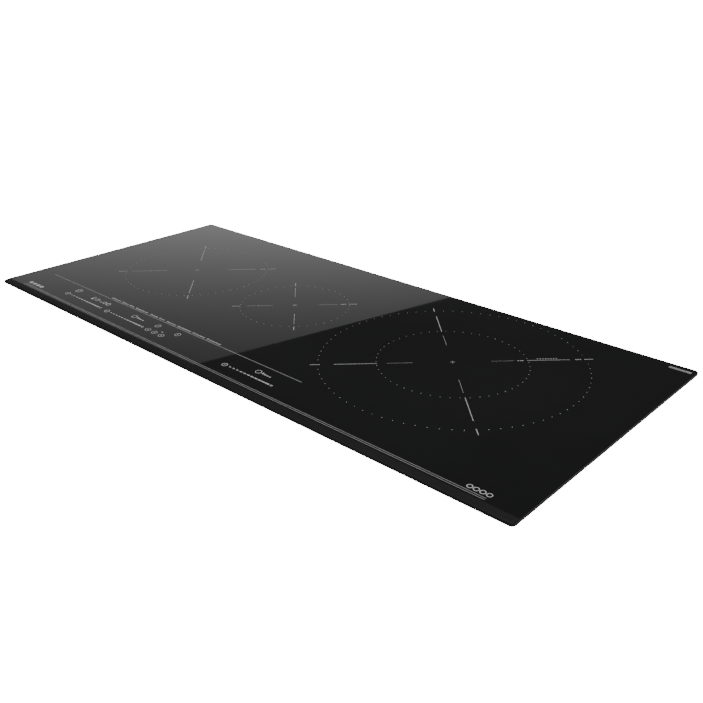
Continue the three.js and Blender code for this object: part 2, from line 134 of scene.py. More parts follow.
class NodeSet:
    """A node tree that is filled through one method."""

    def __init__(self, tree):
        self.tree = tree

    def feed(self, socket, value):
        if isinstance(value, Wire):
            self.tree.links.new(value.socket, socket)
        elif hasattr(socket.default_value, "__len__") and len(value) == 3:
            plain = len(socket.default_value) == 3
            socket.default_value = value if plain else (*value, 1.0)
        else:
            socket.default_value = value

    def node(self, kind, settings=None, inputs=None):
        """A node of that kind, set up, fed and given back as its list of outputs."""
        made = self.tree.nodes.new("ShaderNode" + kind)
        for key, value in (settings or {}).items():
            if key == "stops":
                self._stops(made.color_ramp, value)
            else:
                setattr(made, key, value)
        for key, value in (inputs or {}).items():
            self.feed(made.inputs[key], value)
        return [Wire(self, socket) for socket in made.outputs]

    @staticmethod
    def _stops(ramp, stops):
        ramp.elements[0].position = stops[0][0]
        ramp.elements[1].position = stops[-1][0]
        for place, _ in stops[1:-1]:
            ramp.elements.new(place)
        for element, (_, grey) in zip(ramp.elements, stops, strict=True):
            element.color = (grey, grey, grey, 1.0)


class Finish(NodeSet):
    """One procedural finish around a Principled shader."""

    def __init__(self, name, **steady):
        self.material = bpy.data.materials.new(name)
        self.material.use_nodes = True
        super().__init__(self.material.node_tree)
        self.shader = self.tree.nodes["Principled BSDF"]
        self.paint(**steady)
        self.place = self.node("TexCoord")[3]

    def paint(self, **values):
        """Feeds the shader's sockets, each named in plain lower case, such as coat_weight."""
        for key, value in values.items():
            socket = key.replace("_", " ").title().replace("Ior", "IOR")
            self.feed(self.shader.inputs[socket], value)

    def axes(self):
        """The three coordinates of a point on the piece."""
        return self.node("SeparateXYZ", None, {0: self.place})

    def _where(self, stretch):
        if not stretch:
            return self.place
        return self.node("Mapping", None, {"Vector": self.place, "Scale": stretch})[0]

    def noise(self, scale, detail=3.0, roughness=0.55, stretch=None):
        inputs = {"Vector": self._where(stretch), "Scale": scale}
        inputs |= {"Detail": detail, "Roughness": roughness}
        return self.node("TexNoise", None, inputs)[0]

    def cells(self, scale, feature="F1", stretch=None):
        inputs = {"Vector": self._where(stretch), "Scale": scale}
        return self.node("TexVoronoi", {"feature": feature}, inputs)[0]

    def blend(self, share, first, second):
        inputs = {0: share, 6: first, 7: second}
        return self.node("Mix", {"data_type": "RGBA"}, inputs)[2]

    def bump(self, height, depth, strength=1.0):
        inputs = {"Height": height, "Distance": depth, "Strength": strength}
        self.paint(normal=self.node("Bump", None, inputs)[0])

    def sine(self, angle):
        return self.node("Math", {"operation": "SINE"}, {0: angle})[0]

    def bearing(self, across, along):
        """The angle at which a point lies, from its two distances to a centre."""
        return self.node("Math", {"operation": "ARCTAN2"}, {0: along, 1: across})[0]

    def radius(self, x, y):
        """Distance in the plane from the upright line through x, y."""
        px, py, _ = self.axes()
        return ((px - x) * (px - x) + (py - y) * (py - y)) ** 0.5


def lit(grey, warmth=0.0):
    """A near-neutral colour, a touch warmer or cooler."""
    return (grey * (1 + warmth), grey, grey * (1 - warmth))


# ---- finishes ----
def black_glass(settings):
    """Polished black ceramic glass with a satin ground facet along the front."""
    made = Finish("black_glass", specular_ior_level=0.5, ior=1.5)
    _, y, _ = made.axes()
    smudge = made.noise(5.0, 4.0).between(0.42, 0.75)
    grain = made.noise(900.0, 2.0)
    ridge, border = settings.ridge_y, 0.2 * MM
    facet = 1.0 - y.between(ridge - border, ridge + border)
    deep = tuple(settings.colour)
    worn = tuple(min(1.0, c * 1.5 + 0.0006) for c in deep)
    made.paint(
        base_color=made.blend(smudge * 0.6 + grain * 0.2, deep, worn),
        roughness=settings.polish + smudge * 0.012 + facet * settings.facet_roughness,
    )
    made.bump(made.noise(14.0, 1.0), 0.004 * MM, 0.25)
    return made.material


def mark_ink(name, colour, shine=0.0):
    """Fired screen-print ink, slightly grainy, paler and darker in patches."""
    made = Finish(name, ior=1.45)
    grain = made.noise(2600.0, 2.0)
    wear = made.noise(60.0, 3.0).between(0.35, 0.7)
    dark = tuple(c * 0.72 for c in colour)
    made.paint(
        base_color=made.blend(grain.between(0.35, 0.6) * 0.7 + wear * 0.3, dark, tuple(colour)),
        roughness=0.42 + grain * 0.2 - shine * 0.2,
        metallic=shine,
    )
    made.bump(grain, 0.01 * MM, 0.3)
    return made.material


def sheet_steel():
    """Galvanised sheet: large soft spangles, fine rolling lines and dull handling marks."""
    made = Finish("galvanised_steel", metallic=0.7)
    spangle = made.cells(150.0)
    edges = made.cells(150.0, "F2")
    rolled = made.noise(420.0, 2.0, 0.5, (0.04, 1.0, 1.0))
    dull = made.noise(9.0, 4.0).between(0.4, 0.72)
    tone = spangle * 0.5 + rolled * 0.25 + (edges - spangle) * 0.15
    made.paint(
        base_color=made.blend(tone.between(0.1, 0.75), lit(0.50, -0.02), lit(0.64, -0.01)),
        roughness=0.36 + dull * 0.08 + spangle * 0.08,
    )
    made.bump(rolled * 0.6 + spangle * 0.4, 0.05 * MM, 0.35)
    return made.material


def bare_aluminium():
    """Mill-finish aluminium with drawn lines."""
    made = Finish("aluminium", metallic=1.0)
    lines = made.noise(700.0, 3.0, 0.6, (0.02, 1.0, 1.0))
    cloud = made.noise(12.0, 3.0)
    made.paint(
        base_color=made.blend(lines * 0.6 + cloud * 0.4, lit(0.60, -0.01), lit(0.80, -0.01)),
        roughness=0.26 + lines * 0.16 + cloud * 0.08,
    )
    made.bump(lines, 0.03 * MM, 0.4)
    return made.material


def plated_zinc(name, dark, light, roughness):
    """Bright metal with a faint cloudy bloom and small tool marks."""
    made = Finish(name, metallic=1.0)
    bloom = made.noise(70.0, 4.0)
    nicks = made.cells(900.0).between(0.0, 0.25)
    made.paint(
        base_color=made.blend(bloom.between(0.3, 0.7), dark, light),
        roughness=roughness + bloom * 0.12 + nicks * 0.05,
    )
    made.bump(bloom * 0.3 + nicks * 0.7, 0.02 * MM, 0.4)
    return made.material


def moulded_plastic(name, dark, light, roughness, grain_scale=1400.0):
    """Moulded plastic with a fine spark-eroded grain and slight flow marks."""
    made = Finish(name, ior=1.48)
    grain = made.noise(grain_scale, 2.0)
    flow = made.noise(25.0, 3.0, 0.5, (0.3, 1.0, 1.0))
    made.paint(
        base_color=made.blend(grain * 0.4 + flow * 0.6, dark, light),
        roughness=roughness + grain * 0.14 + flow * 0.06,
    )
    made.bump(grain, 0.03 * MM, 0.5)
    return made.material


def closed_foam():
    """Closed-cell foam strip: fine open pores in a matt skin."""
    made = Finish("foam", ior=1.4, sheen_weight=0.2)
    pores = made.cells(1300.0)
    lumps = made.noise(120.0, 3.0)
    made.paint(
        base_color=made.blend(pores.between(0.1, 0.6), lit(0.006), lit(0.022)),
        roughness=0.82 + lumps * 0.12,
    )
    made.bump(pores * 0.7 + lumps * 0.3, 0.12 * MM, 0.6)
    return made.material


def soft_rubber():
    """Black rubber with a dusty grey bloom."""
    made = Finish("rubber", ior=1.5)
    bloom = made.noise(45.0, 4.0).between(0.35, 0.75)
    grain = made.noise(1800.0, 2.0)
    made.paint(
        base_color=made.blend(bloom, lit(0.010), lit(0.026, 0.05)),
        roughness=0.55 + bloom * 0.18 + grain * 0.08,
    )
    made.bump(grain, 0.02 * MM, 0.5)
    return made.material


def silicone(name, dark, light):
    """Cast silicone with a slightly swollen, waxy skin."""
    made = Finish(name, ior=1.42)
    swell = made.noise(90.0, 3.0)
    made.paint(
        base_color=made.blend(swell, dark, light),
        roughness=0.32 + swell * 0.2,
    )
    made.bump(swell, 0.15 * MM, 0.5)
    return made.material


def sintered_ferrite():
    """Dark grey sintered ferrite with specks and small chips."""
    made = Finish("ferrite")
    speck = made.noise(1500.0, 3.0)
    chips = made.cells(300.0).between(0.0, 0.12)
    made.paint(
        base_color=made.blend(speck, lit(0.020), lit(0.055)),
        roughness=0.62 + speck * 0.2 - chips * 0.1,
        metallic=0.15 + speck * 0.1,
    )
    made.bump(speck * 0.6 + chips * 0.4, 0.05 * MM, 0.5)
    return made.material


def litz_copper(zone, centre, strands=150, lay=2.1 * MM):
    """Lacquered copper strands twisted into the turns round one coil centre, with painted shade
    between strands.
    """
    made = Finish(f"copper_{zone}", coat_weight=0.4, coat_roughness=0.2)
    x, y, _ = made.axes()
    angle = made.bearing(x - centre[0], y - centre[1])
    twist = made.sine(angle * strands + made.radius(*centre) * (math.tau / lay))
    tarnish = made.noise(1500.0, 2.0)
    ridge = twist * 0.5 + 0.5
    # The colour is painted shade: darker in the grooves between strands, lighter on their crests,
    # mixed with random tarnish.
    made.paint(
        base_color=made.blend(
            ridge * 0.6 + tarnish * 0.4, (0.22, 0.065, 0.026), (0.62, 0.27, 0.12)
        ),
        roughness=0.34 + tarnish * 0.2,
        metallic=0.85,
    )
    made.bump(ridge * 0.8 + tarnish * 0.2, 0.2 * MM, 0.6)
    return made.material


def choke_wire(centre, turns=26):
    """Enamelled wire wound through a ring core, with painted shade between turns; the same on both
    sides of the middle.
    """
    made = Finish("choke_copper", coat_weight=0.5, coat_roughness=0.15)
    x, y, _ = made.axes()
    across = made.node("Math", {"operation": "ABSOLUTE"}, {0: x})[0] - abs(centre[0])
    ridge = made.sine(made.bearing(across, y - centre[1]) * turns) * 0.5 + 0.5
    tarnish = made.noise(150.0, 3.0)
    # The colour is painted shade: darker in the grooves between turns, lighter on their crests,
    # mixed with random tarnish.
    made.paint(
        base_color=made.blend(
            ridge * 0.75 + tarnish * 0.25, (0.14, 0.035, 0.015), (0.60, 0.24, 0.10)
        ),
        roughness=0.28 + tarnish * 0.15,
        metallic=0.9,
    )
    made.bump(ridge, 0.5 * MM, 0.8)
    return made.material


def pressed_mica():
    """Pressed mica sheet: overlapping pale flakes under a thin binder."""
    made = Finish("mica", ior=1.56, coat_weight=0.2)
    flakes = made.cells(160.0)
    cloud = made.noise(30.0, 4.0)
    made.paint(
        base_color=made.blend(flakes * 0.6 + cloud * 0.4, (0.36, 0.30, 0.19), (0.66, 0.58, 0.42)),
        roughness=0.34 + flakes * 0.25,
        metallic=0.1 + flakes * 0.1,
    )
    made.bump(flakes, 0.04 * MM, 0.4)
    return made.material


def printed_board():
    """Green solder mask over joined tracks, with small tinned pads."""
    made = Finish("circuit_board", ior=1.5, coat_weight=0.5, coat_roughness=0.12)
    inputs = {"Vector": made.place, "Scale": 140.0, "Mortar Size": 0.06, "Mortar Smooth": 0.1}
    track = made.node("TexBrick", {"offset": 0.5, "squash": 1.0}, inputs)[1]
    pad = 1.0 - made.cells(260.0, stretch=(1.0, 1.0, 0.0)).between(0.16, 0.2)
    tone = made.noise(40.0, 3.0)
    mask = made.blend(tone, (0.008, 0.075, 0.030), (0.014, 0.12, 0.048))
    tracked = made.blend(track, mask, (0.022, 0.19, 0.075))
    made.paint(
        base_color=made.blend(pad, tracked, (0.62, 0.60, 0.56)),
        roughness=0.34 + tone * 0.12,
        metallic=pad * 0.8,
    )
    made.bump(track * 0.5 + pad * 0.5, 0.06 * MM, 0.6)
    return made.material


def tinted_lens():
    """Smoky display cover with a slight haze."""
    made = Finish("dark_lens", ior=1.49, coat_weight=0.6, coat_roughness=0.04)
    haze = made.noise(30.0, 3.0)
    made.paint(
        base_color=made.blend(haze, lit(0.008), lit(0.016)),
        roughness=0.08 + haze * 0.08,
    )
    return made.material


def ribbon_film(across_x, pitch):
    """Flat cable: grey insulation over evenly spaced tinned strips."""
    made = Finish("ribbon", ior=1.5)
    x, _, _ = made.axes()
    wave = made.sine((x - across_x) * (math.tau / pitch))
    strip = (wave * 0.5 + 0.5).between(0.35, 0.65)
    haze = made.noise(200.0, 2.0)
    made.paint(
        base_color=made.blend(strip * 0.8 + haze * 0.2, lit(0.36), lit(0.66)),
        roughness=0.34 + haze * 0.16,
    )
    made.bump(strip, 0.08 * MM, 0.6)
    return made.material


# ---- modelling helpers ----
def middle_of(node):
    """Where the middle of a CAD node stands, seen from above."""
    low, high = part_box(node)
    return tuple((low + high).xy / 2)


def set_mode(mode):
    if bpy.context.object and bpy.context.object.mode != mode:
        bpy.ops.object.mode_set(mode=mode)


def nothing_selected():
    set_mode("OBJECT")
    bpy.ops.object.select_all(action="DESELECT")


def only(piece):
    nothing_selected()
    piece.select_set(True)
    bpy.context.view_layer.objects.active = piece


def pick(kind, rule):
    """Selects the verts, edges or faces of the piece in edit mode that the rule accepts."""
    mesh = bpy.context.object.data
    modes = [kind == name for name in ("verts", "edges", "faces")]
    bpy.context.tool_settings.mesh_select_mode = modes
    bpy.ops.mesh.select_all(action="DESELECT")
    shape = bmesh.from_edit_mesh(mesh)
    for part in getattr(shape, kind):
        if rule(part):
            part.select_set(True)
    bmesh.update_edit_mesh(mesh)


def everything():
    bpy.ops.mesh.select_all(action="SELECT")


def named(piece, name):
    piece.name = name
    piece.data.name = name
    return piece


def blank(name):
    """An empty piece at the origin, open in edit mode."""
    nothing_selected()
    bpy.ops.object.add(type="MESH", enter_editmode=True, location=(0, 0, 0))
    return named(bpy.context.object, name)


def flat_ring(centre, outer, inner, sides):
    """Adds a flat ring between two radii to the piece in edit mode."""
    bpy.context.tool_settings.mesh_select_mode = (True, False, False)
    bpy.ops.mesh.primitive_circle_add(
        vertices=sides, radius=outer, fill_type="NOTHING", location=centre
    )
    bpy.ops.mesh.extrude_region_move()
    inward = inner / outer
    bpy.ops.transform.resize(value=(inward, inward, 1), center_override=centre)


def thickened(height):
    """Gives the flat shapes in edit mode a thickness, with their faces outwards."""
    everything()
    bpy.ops.mesh.extrude_region_move(TRANSFORM_OT_translate={"value": (0, 0, height)})
    everything()
    bpy.ops.mesh.normals_make_consistent(inside=False)
    set_mode("OBJECT")


def block(name, low, high):
    """A block between two corners, open in edit mode, with its place in its mesh."""
    nothing_selected()
    centre = (Vector(low) + Vector(high)) / 2
    bpy.ops.mesh.primitive_cube_add(size=1, location=centre, scale=Vector(high) - Vector(low))
    piece = named(bpy.context.object, name)
    bpy.ops.object.transform_apply(location=True, rotation=True, scale=True)
    set_mode("EDIT")
    return piece


def softened(piece, width, segments=2, angle=40.0, margin=5.0):
    """Breaks the piece's sharp edges with a small round and shades it by angle."""
    only(piece)
    bevel = piece.modifiers.new("edge_round", "BEVEL")
    bevel.width = width
    bevel.segments = segments
    bevel.limit_method = "ANGLE"
    bevel.angle_limit = math.radians(angle)
    bevel.use_clamp_overlap = True
    bpy.ops.object.modifier_apply(modifier=bevel.name)
    evenly_lit(piece, angle - margin)


def evenly_lit(piece, angle):
    """Smooth shading in which the broad faces stay flat and only the rounds turn."""
    only(piece)
    bpy.ops.object.shade_smooth_by_angle(angle=math.radians(angle), keep_sharp_edges=True)
    weights = piece.modifiers.new("broad_faces", "WEIGHTED_NORMAL")
    weights.weight = 100
    weights.keep_sharp = True
    bpy.ops.object.modifier_apply(modifier=weights.name)


def tidied(piece):
    """Merges doubles and turns faces outwards."""
    only(piece)
    set_mode("EDIT")
    everything()
    bpy.ops.mesh.remove_doubles(threshold=MERGE)
    everything()
    bpy.ops.mesh.normals_make_consistent(inside=False)
    set_mode("OBJECT")


def refined(name, node, width, segments=2, angle=40.0):
    """A merged copy of a CAD node with broken edges, which stands for that node."""
    source = frame["nodes"][node]
    only(source)
    bpy.ops.object.duplicate(linked=False)
    piece = bpy.context.object
    named(piece, name)
    piece.parent = None
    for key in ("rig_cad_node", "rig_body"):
        if key in piece:
            del piece[key]
    piece.data.materials.clear()
    set_mode("EDIT")
    everything()
    bpy.ops.mesh.remove_doubles(threshold=MERGE)
    bpy.ops.mesh.dissolve_limited(angle_limit=math.radians(1.0))
    set_mode("OBJECT")
    softened(piece, width, segments, angle)
    return piece


def finished(piece, body, material, slot, *nodes):
    """Gives the piece its finish and body, and hides the nodes it stands for; slot is not used."""
    nothing_selected()
    piece.data.materials.clear()
    piece.data.materials.append(material)
    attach(piece, body)
    if nodes:
        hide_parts(*nodes)


def copies(pattern, name, places):
    """One mesh of the pattern set down at each place, and the pattern taken away."""
    made = []
    for place in places:
        only(pattern)
        bpy.ops.object.duplicate(linked=False)
        copy = bpy.context.object
        copy.location = place
        bpy.ops.object.transform_apply(location=True, rotation=True, scale=True)
        made.append(copy)
    nothing_selected()
    for copy in made:
        copy.select_set(True)
    bpy.context.view_layer.objects.active = made[0]
    if len(made) > 1:
        bpy.ops.object.join()
    piece = named(bpy.context.object, name)
    only(pattern)
    bpy.ops.object.delete()
    return piece


# ---- printed marks ----
FILM_TOP = 0.04 * MM
FILM_DEPTH = 0.06 * MM


class Marks:
    """Flat printed shapes drawn on the glass in edit mode, then raised to a thin film.

    Places are in millimetres from the glass's left front corner."""

    def __init__(self, name):
        self.piece = blank(name)

    @staticmethod
    def spot(x, y):
        return Vector((GLASS_LOW.x + x * MM, GLASS_LOW.y + y * MM, GLASS_TOP + FILM_TOP))

    def bar(self, x, y, length, width, turn=0.0):
        """A straight stroke about x, y, turned anticlockwise by degrees."""
        centre = self.spot(x, y)
        bpy.ops.mesh.primitive_plane_add(size=MM, location=centre)
        bpy.ops.transform.resize(value=(length, width, 1), center_override=centre)
        if turn:
            angle = -math.radians(turn)
            bpy.ops.transform.rotate(value=angle, orient_axis="Z", center_override=centre)

    def stroke(self, x, y, turn, start, end, width):
        """A stroke on the ray from x, y at that angle, between two distances."""
        angle, middle = math.radians(turn), (start + end) / 2
        mid_x, mid_y = x + middle * math.cos(angle), y + middle * math.sin(angle)
        self.bar(mid_x, mid_y, end - start, width, turn)

    def dot(self, x, y, radius, sides=12):
        bpy.ops.mesh.primitive_circle_add(
            vertices=sides, radius=radius * MM, fill_type="NGON", location=self.spot(x, y)
        )

    def ring(self, x, y, radius, width, sides=24, gap=None):
        """A ring of that outside radius; gap is a (from, to) pair of degrees left open."""
        centre = self.spot(x, y)
        flat_ring(centre, radius * MM, (radius - width) * MM, sides)
        if gap:
            low, high = gap
            nearest, farthest = (radius - width) * 0.8 * MM, radius * 1.02 * MM

            def in_gap(face):
                middle = face.calc_center_median() - centre
                if not nearest < middle.length < farthest:
                    return False
                return low < math.degrees(math.atan2(middle.y, middle.x)) % 360 < high

            pick("faces", in_gap)
            bpy.ops.mesh.delete(type="FACE")

    def dotted_ring(self, x, y, radius, count, size, phase=0.0, skip=()):
        """Round dots evenly on a circle, left out at the angles in skip."""
        angle = math.radians(phase)
        self.dot(x + radius * math.cos(angle), y + radius * math.sin(angle), size)
        bpy.ops.mesh.spin(
            dupli=True,
            steps=count - 1,
            angle=math.tau * (count - 1) / count,
            center=self.spot(x, y),
            axis=(0, 0, 1),
        )
        if skip:
            self._open(x, y, radius, size, skip)

    def _open(self, x, y, radius, size, skip):
        """Takes away the dots of a ring that lie at the angles in skip."""
        centre = self.spot(x, y)
        near = 1.5 * math.degrees(size / radius)

        def on_skip(face):
            middle = face.calc_center_median() - centre
            if abs(middle.length - radius * MM) > size * MM:
                return False
            turn = math.degrees(math.atan2(middle.y, middle.x)) % 360
            return any(abs(turn - angle) < near for angle in skip)

        pick("faces", on_skip)
        bpy.ops.mesh.delete(type="FACE")

    def raised(self, material):
        """Makes the drawn shapes films whose lower faces are sunk in the glass."""
        thickened(-FILM_DEPTH)
        finished(self.piece, "housing", material, "black_glass")


# ---- settings a user would change ----
def length(name, description, default):
    return bpy.props.FloatProperty(
        name=name, description=description, default=default, min=0.0, unit="LENGTH", precision=5
    )


def stroke_width(name, description, default):
    return bpy.props.FloatProperty(
        name=name, description=f"{description} in millimetres", default=default, min=0.2
    )


def share(name, description, default):
    return bpy.props.FloatProperty(
        name=name, description=description, default=default, min=0.0, max=1.0, subtype="FACTOR"
    )


def tint(name, description, default):
    return bpy.props.FloatVectorProperty(
        name=name, description=description, default=default, min=0.0, max=1.0, subtype="COLOR"
    )


class CooktopGlass(bpy.types.PropertyGroup):
    """Shape and finish of the glass plate."""

    corner: length("Corner radius", "Radius of the four corners seen from above", 5 * MM)
    rim: length("Rim round", "Round on the upper rim", 0.8 * MM)
    ridge: length("Facet width", "Distance from the front edge to the facet's ridge", 10.7 * MM)
    crease: length("Nose width", "Distance from the front edge to the facet's lower line", 3.1 * MM)
    drop: length("Facet drop", "Height lost between the ridge and the lower line", 1.0 * MM)
    colour: tint("Glass colour", "Body colour of the glass", (0.0036, 0.0037, 0.0040))
    polish: share("Polish", "Roughness of the polished face", 0.012)
    facet_roughness: share("Facet roughness", "Extra roughness of the ground facet", 0.22)

    @property
    def ridge_y(self):
        return GLASS_LOW.y + self.ridge


class CooktopMarks(bpy.types.PropertyGroup):
    """Sizes and colours of the printed marks."""

    dot: stroke_width("Dot radius", "Radius of a zone dot", 0.58)
    line: stroke_width("Line width", "Width of a cross line", 0.85)
    tick: stroke_width("Tick width", "Width of a tick across a dotted ring", 1.1)
    zone_ink: tint("Zone ink", "Colour of the dots and cross lines", (0.36, 0.36, 0.36))
    touch_ink: tint("Touch ink", "Colour of the touch symbols", (0.44, 0.44, 0.44))
    line_ink: tint("Line ink", "Colour of the long lines", (0.24, 0.24, 0.24))


class CooktopHousing(bpy.types.PropertyGroup):
    """Edge rounds of the parts below the glass."""

    sheet_round: length("Sheet edge", "Round on cut sheet edges", 0.25 * MM)
    plastic_round: length("Plastic edge", "Round on moulded edges", 0.4 * MM)
    screw: length("Screw head", "Radius of a housing screw's head", 3.4 * MM)


class CooktopStudio(bpy.types.PropertyGroup):
    """Floor, lights and camera."""

    lens: bpy.props.FloatProperty(
        name="Lens", description="Focal length on a 36 mm sensor", default=43.1, unit="CAMERA"
    )
    floor_glow: bpy.props.FloatProperty(
        name="Floor glow", description="Paleness added to the floor", default=20.0, min=0.0
    )
    overhead: bpy.props.FloatProperty(
        name="Overhead light", description="Power of the softbox", default=70.0, unit="POWER"
    )
    card: bpy.props.FloatProperty(
        name="Side card", description="Brightness of the card mirrored in the glass", default=1.0
    )


# ---- glass ----
class COOKTOP_OT_glass_plate(bpy.types.Operator):
    """Black glass with rounded corners, a rolled front nose and a ground facet"""

    bl_idname = "cooktop.glass_plate"
    bl_label = "Glass plate"

    def execute(self, context):
        sizes = context.scene.cooktop_glass
        low, high = GLASS_LOW, GLASS_HIGH
        piece = block("glass_plate", low, high)
        pick("edges", lambda e: (e.verts[0].co - e.verts[1].co).xy.length < HAIR)
        bpy.ops.mesh.bevel(offset=sizes.corner, segments=10, affect="EDGES")
        pick("edges", lambda e: min(v.co.z for v in e.verts) > high.z - HAIR)
        bpy.ops.mesh.bevel(offset=sizes.rim, segments=4, affect="EDGES")
        nose_steps = 8
        turns = [math.radians(90 * i / nose_steps) for i in range(1, nose_steps + 1)]
        lines = [low.y + sizes.crease * (1 - math.cos(turn)) for turn in turns]
        for y in [*lines, low.y + sizes.ridge]:
            everything()
            bpy.ops.mesh.bisect(plane_co=(0, y, 0), plane_no=(0, 1, 0))
        self.settle(piece, sizes)
        everything()
        bpy.ops.mesh.remove_doubles(threshold=HAIR)
        for y in (low.y + sizes.crease, low.y + sizes.ridge):
            pick("edges", lambda e, y=y: all(abs(v.co.y - y) < HAIR for v in e.verts))
            bpy.ops.mesh.mark_sharp()
        everything()
        bpy.ops.mesh.normals_make_consistent(inside=False)
        set_mode("OBJECT")
        evenly_lit(piece, 35)
        finished(piece, "housing", black_glass(sizes), "black_glass", "glass_panel")
        return {"FINISHED"}

    @staticmethod
    def settle(piece, sizes):
        """Lowers each row of points in front of the ridge onto the facet and nose."""
        low = GLASS_LOW
        thick = GLASS_TOP - low.z
        row_digits, same_row = 6, 0.6e-6

        def height(y):
            inward = y - low.y
            if inward >= sizes.crease:
                run = (inward - sizes.crease) / (sizes.ridge - sizes.crease)
                return thick - sizes.drop * (1 - min(run, 1.0))
            lean = 1 - inward / sizes.crease
            return (thick - sizes.drop) * math.sqrt(max(0.0, 1 - lean * lean))

        shape = bmesh.from_edit_mesh(piece.data)
        ridge = sizes.ridge_y - HAIR
        rows = sorted({round(v.co.y, row_digits) for v in shape.verts if v.co.y < ridge})
        for y in rows:
            pick("verts", lambda v, y=y: abs(v.co.y - y) < same_row)
            part = height(y) / thick
            bpy.ops.transform.resize(value=(1, 1, part), center_override=(0, y, low.z))


# ---- printed zones ----
# Millimetres: a ring is its radius, count of dots and first angle; a tick is where it starts and
# ends on an arm; a line adds its share of the line width; a stroke adds its own width.
ZONES = {
    "left": {
        "centre": (182.9, 224.6),
        "rings": [(108.4, 60, 0.0)],
        "plain": {"tick": (108.0, 120.5), "lines": [(46.0, 100.0, 0.85)]},
        "marked": {"tick": (110.0, 121.0), "lines": [(46.7, 90.0, 0.85)]},
        "signs": [101.0],
    },
    "middle": {
        "centre": (399.8, 224.8),
        "rings": [(76.1, 40, 4.5)],
        "plain": {"tick": (76.0, 87.0), "lines": [(31.0, 67.0, 0.6)]},
        "marked": {"tick": (76.0, 87.0), "lines": [(31.0, 60.0, 0.6)]},
        "signs": [68.0],
    },
    "right": {
        "centre": (671.1, 224.8),
        "rings": [(161.6, 80, 0.0), (91.6, 52, 0.0)],
        "plain": {"tick": (159.0, 171.0), "lines": [(90.5, 142.5, 1.1), (47.5, 79.0, 0.45)]},
        "marked": {"tick": (160.0, 171.0), "lines": [(90.5, 142.5, 1.1), (47.0, 74.0, 0.45)]},
        "signs": [82.3, 152.6],
        "blocks": (104.0, 127.0),
    },
}
ARMS = (45.0, 135.0, 225.0, 315.0)
MARKED_ARM = 45.0
CENTRE_STROKE = (0.8, 3.0, 0.8)
SIGN_REACH = 2.7


class COOKTOP_OT_zone_marks(bpy.types.Operator):
    """Dotted rings, cross lines and centre points of the three cooking zones"""

    bl_idname = "cooktop.zone_marks"
    bl_label = "Zone marks"

    def execute(self, context):
        sizes = context.scene.cooktop_marks
        ink = mark_ink("zone_ink", sizes.zone_ink)
        for name, zone in ZONES.items():
            marks = Marks(f"zone_marks_{name}")
            x, y = zone["centre"]
            outermost = zone["rings"][0][0]
            for radius, count, phase in zone["rings"]:
                skip = ARMS if radius == outermost else ()
                marks.dotted_ring(x, y, radius, count, sizes.dot, phase, skip)
            for turn in ARMS:
                arm = zone["marked" if turn == MARKED_ARM else "plain"]
                marks.stroke(x, y, turn, *arm["tick"], sizes.tick)
                for start, end, share_of_line in arm["lines"]:
                    marks.stroke(x, y, turn, start, end, sizes.line * share_of_line)
                marks.stroke(x, y, turn, *CENTRE_STROKE)
            for distance in zone["signs"]:
                span = (distance - SIGN_REACH, distance + SIGN_REACH)
                self.blocks(marks, x, y, span, count=3, size=1.9)
            if "blocks" in zone:
                self.blocks(marks, x, y, zone["blocks"], count=8, size=1.6, aside=4.0)
            marks.raised(ink)
        return {"FINISHED"}

    @staticmethod
    def blocks(marks, x, y, span, count, size, aside=0.0):
        """Small blocks along the marked arm, a little to its rear where aside is given."""
        start, end = span
        angle = math.radians(MARKED_ARM)
        along, across = (math.cos(angle), math.sin(angle)), (-math.sin(angle), math.cos(angle))
        for i in range(count):
            distance = start + (end - start) * i / (count - 1)
            cx = x + distance * along[0] + aside * across[0]
            cy = y + distance * along[1] + aside * across[1]
            marks.bar(cx, cy, size, size)


# ---- touch controls ----
# Millimetres from the glass's left front corner.
PROGRAMME_SPANS = (
    (187.3, 208.3),
    (211.8, 227.2),
    (229.8, 241.7),
    (244.7, 273.2),
    (278.7, 295.6),
    (298.6, 310.5),
    (315.6, 335.5),
    (339.5, 367.5),
    (370.9, 396.4),
    (399.9, 427.8),
)
PROGRAMME_Y = 69.1
POWER_KEY = (127.5, 52.3)
DISPLAY = (168.9, 50.8)
TIMERS = ((265.0, 49.8), (514.6, 50.1))
ROUND_KEYS = ((319.9, 52.2), (362.0, 52.2), (319.9, 36.3), (333.9, 36.3), (348.2, 36.3))
KEY_DASH = (340.9, 43.5, 4.0, 1.0)
SLIDERS = ((124.5, 207.8), (224.9, 307.0), (475.0, 556.0))
SLIDER_Y = 36.4


